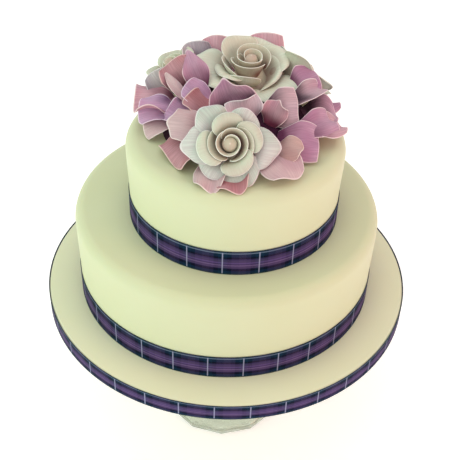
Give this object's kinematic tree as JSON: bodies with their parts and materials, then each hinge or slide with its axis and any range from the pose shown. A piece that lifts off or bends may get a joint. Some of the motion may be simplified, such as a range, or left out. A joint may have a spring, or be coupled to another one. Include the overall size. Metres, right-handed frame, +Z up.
{
  "type": "wedding cake",
  "caption": "Two-tier iced wedding cake with tartan ribbon bands and a heap of sugar flowers, on an iced board and a footed glass cake stand.",
  "frame": {"origin": "on the table under the centre of the stand's foot and of the board", "axes": "+Z up, -Y towards the viewer of the front, where the large front rose is, +X to the viewer's right"},
  "size_m": [0.356, 0.356, 0.4185],
  "materials": {
    "glass": "pressed clear glass with a faint green tint",
    "board_card": "plain card",
    "icing": "smooth ivory sugar paste with a soft sheen",
    "tartan_ribbon": "woven tartan ribbon in dark green, navy and purple",
    "plum_sugar": "matt sugar paste",
    "ivory_sugar": "matt sugar paste with a dusted edge",
    "mauve_sugar": "matt sugar paste dusted mauve and plum"
  },
  "bodies": {
    "root": {"stand": "glass", "board_drum": "board_card", "board_icing": "icing", "bottom_tier": "icing", "top_tier": "icing", "board_ribbon": "tartan_ribbon", "bottom_tier_ribbon": "tartan_ribbon", "top_tier_ribbon": "tartan_ribbon", "flower_mound": "plum_sugar", "front_rose": "ivory_sugar", "top_rose": "ivory_sugar", "left_rose": "ivory_sugar", "right_rose": "ivory_sugar", "petal_left_outer_high": "mauve_sugar", "petal_left_outer_low": "mauve_sugar", "petal_left_grey": "mauve_sugar", "petal_left_round": "mauve_sugar", "petal_left_tall": "mauve_sugar", "petal_left_folded": "mauve_sugar", "petal_left_low_lilac": "mauve_sugar", "petal_left_inner_lilac": "mauve_sugar", "petal_left_front_pale": "mauve_sugar", "petal_front_left_red": "mauve_sugar", "petal_front_low_left": "mauve_sugar", "petal_front_low_red": "mauve_sugar", "petal_front_right_low": "mauve_sugar", "petal_front_right_ridge": "mauve_sugar", "petal_right_front_broad": "mauve_sugar", "petal_right_upright": "mauve_sugar", "petal_right_fold_high": "mauve_sugar", "petal_right_outer": "mauve_sugar", "petal_right_high": "mauve_sugar", "petal_right_low_side": "mauve_sugar", "petal_right_outer_low": "mauve_sugar", "petal_centre_arch": "mauve_sugar", "petal_centre_ruffle": "mauve_sugar", "petal_centre_left": "mauve_sugar", "petal_centre_left_lilac": "mauve_sugar", "petal_right_inner": "mauve_sugar", "petal_back_left_dark": "mauve_sugar", "petal_back_left_pink": "mauve_sugar", "petal_back_right_pink": "mauve_sugar", "petal_back_low_1": "mauve_sugar", "petal_back_low_2": "mauve_sugar", "petal_back_low_3": "mauve_sugar", "petal_back_low_4": "mauve_sugar", "petal_back_low_5": "mauve_sugar", "petal_back_middle": "mauve_sugar"}
  },
  "joints": []
}
